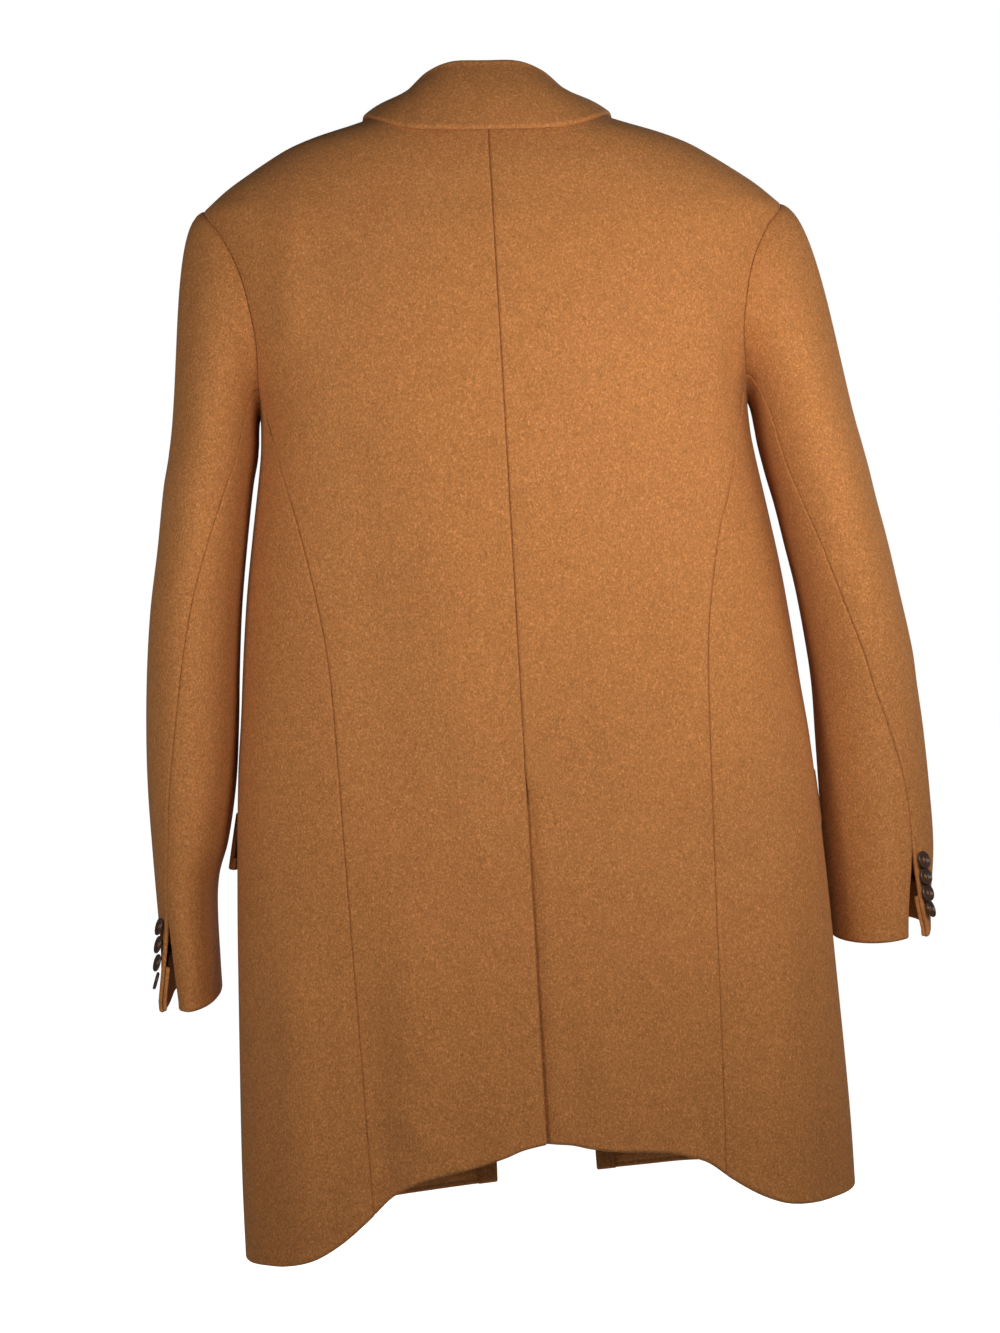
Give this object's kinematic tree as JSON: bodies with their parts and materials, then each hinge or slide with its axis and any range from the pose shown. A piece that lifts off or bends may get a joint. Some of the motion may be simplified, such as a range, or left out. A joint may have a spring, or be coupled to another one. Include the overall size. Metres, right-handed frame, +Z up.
{
  "type": "overcoat",
  "caption": "Single-breasted camel wool overcoat hanging open and hollow, with a turned-down collar, lapels, two-piece sleeves and a centre back vent.",
  "frame": {"origin": "middle of the neck seam, where the coat is held by the neck and shoulders that it hangs on", "axes": "+Z up along the coat's length, -Y out of the coat's back, +Y out of its open front, +X towards the wearer's right"},
  "size_m": [0.6621, 0.2558, 0.9841],
  "materials": {
    "coating": "brushed wool melton with a short soft nap",
    "lining": "smooth dark lining twill",
    "horn": "polished dark horn"
  },
  "bodies": {
    "root": {"back_left": "coating", "side_left": "coating", "front_left": "coating", "lapel_left": "coating", "flap_left": "coating", "top_sleeve_left": "coating", "under_sleeve_left": "coating", "back_right": "coating", "side_right": "coating", "front_right": "coating", "lapel_right": "coating", "flap_right": "coating", "top_sleeve_right": "coating", "under_sleeve_right": "coating", "collar": "coating", "cuff_button_left_1": "horn", "cuff_button_left_2": "horn", "cuff_button_left_3": "horn", "cuff_button_left_4": "horn", "cuff_button_right_1": "horn", "cuff_button_right_2": "horn", "cuff_button_right_3": "horn", "cuff_button_right_4": "horn", "front_button_1": "horn", "front_button_2": "horn", "front_button_3": "horn"}
  },
  "joints": []
}
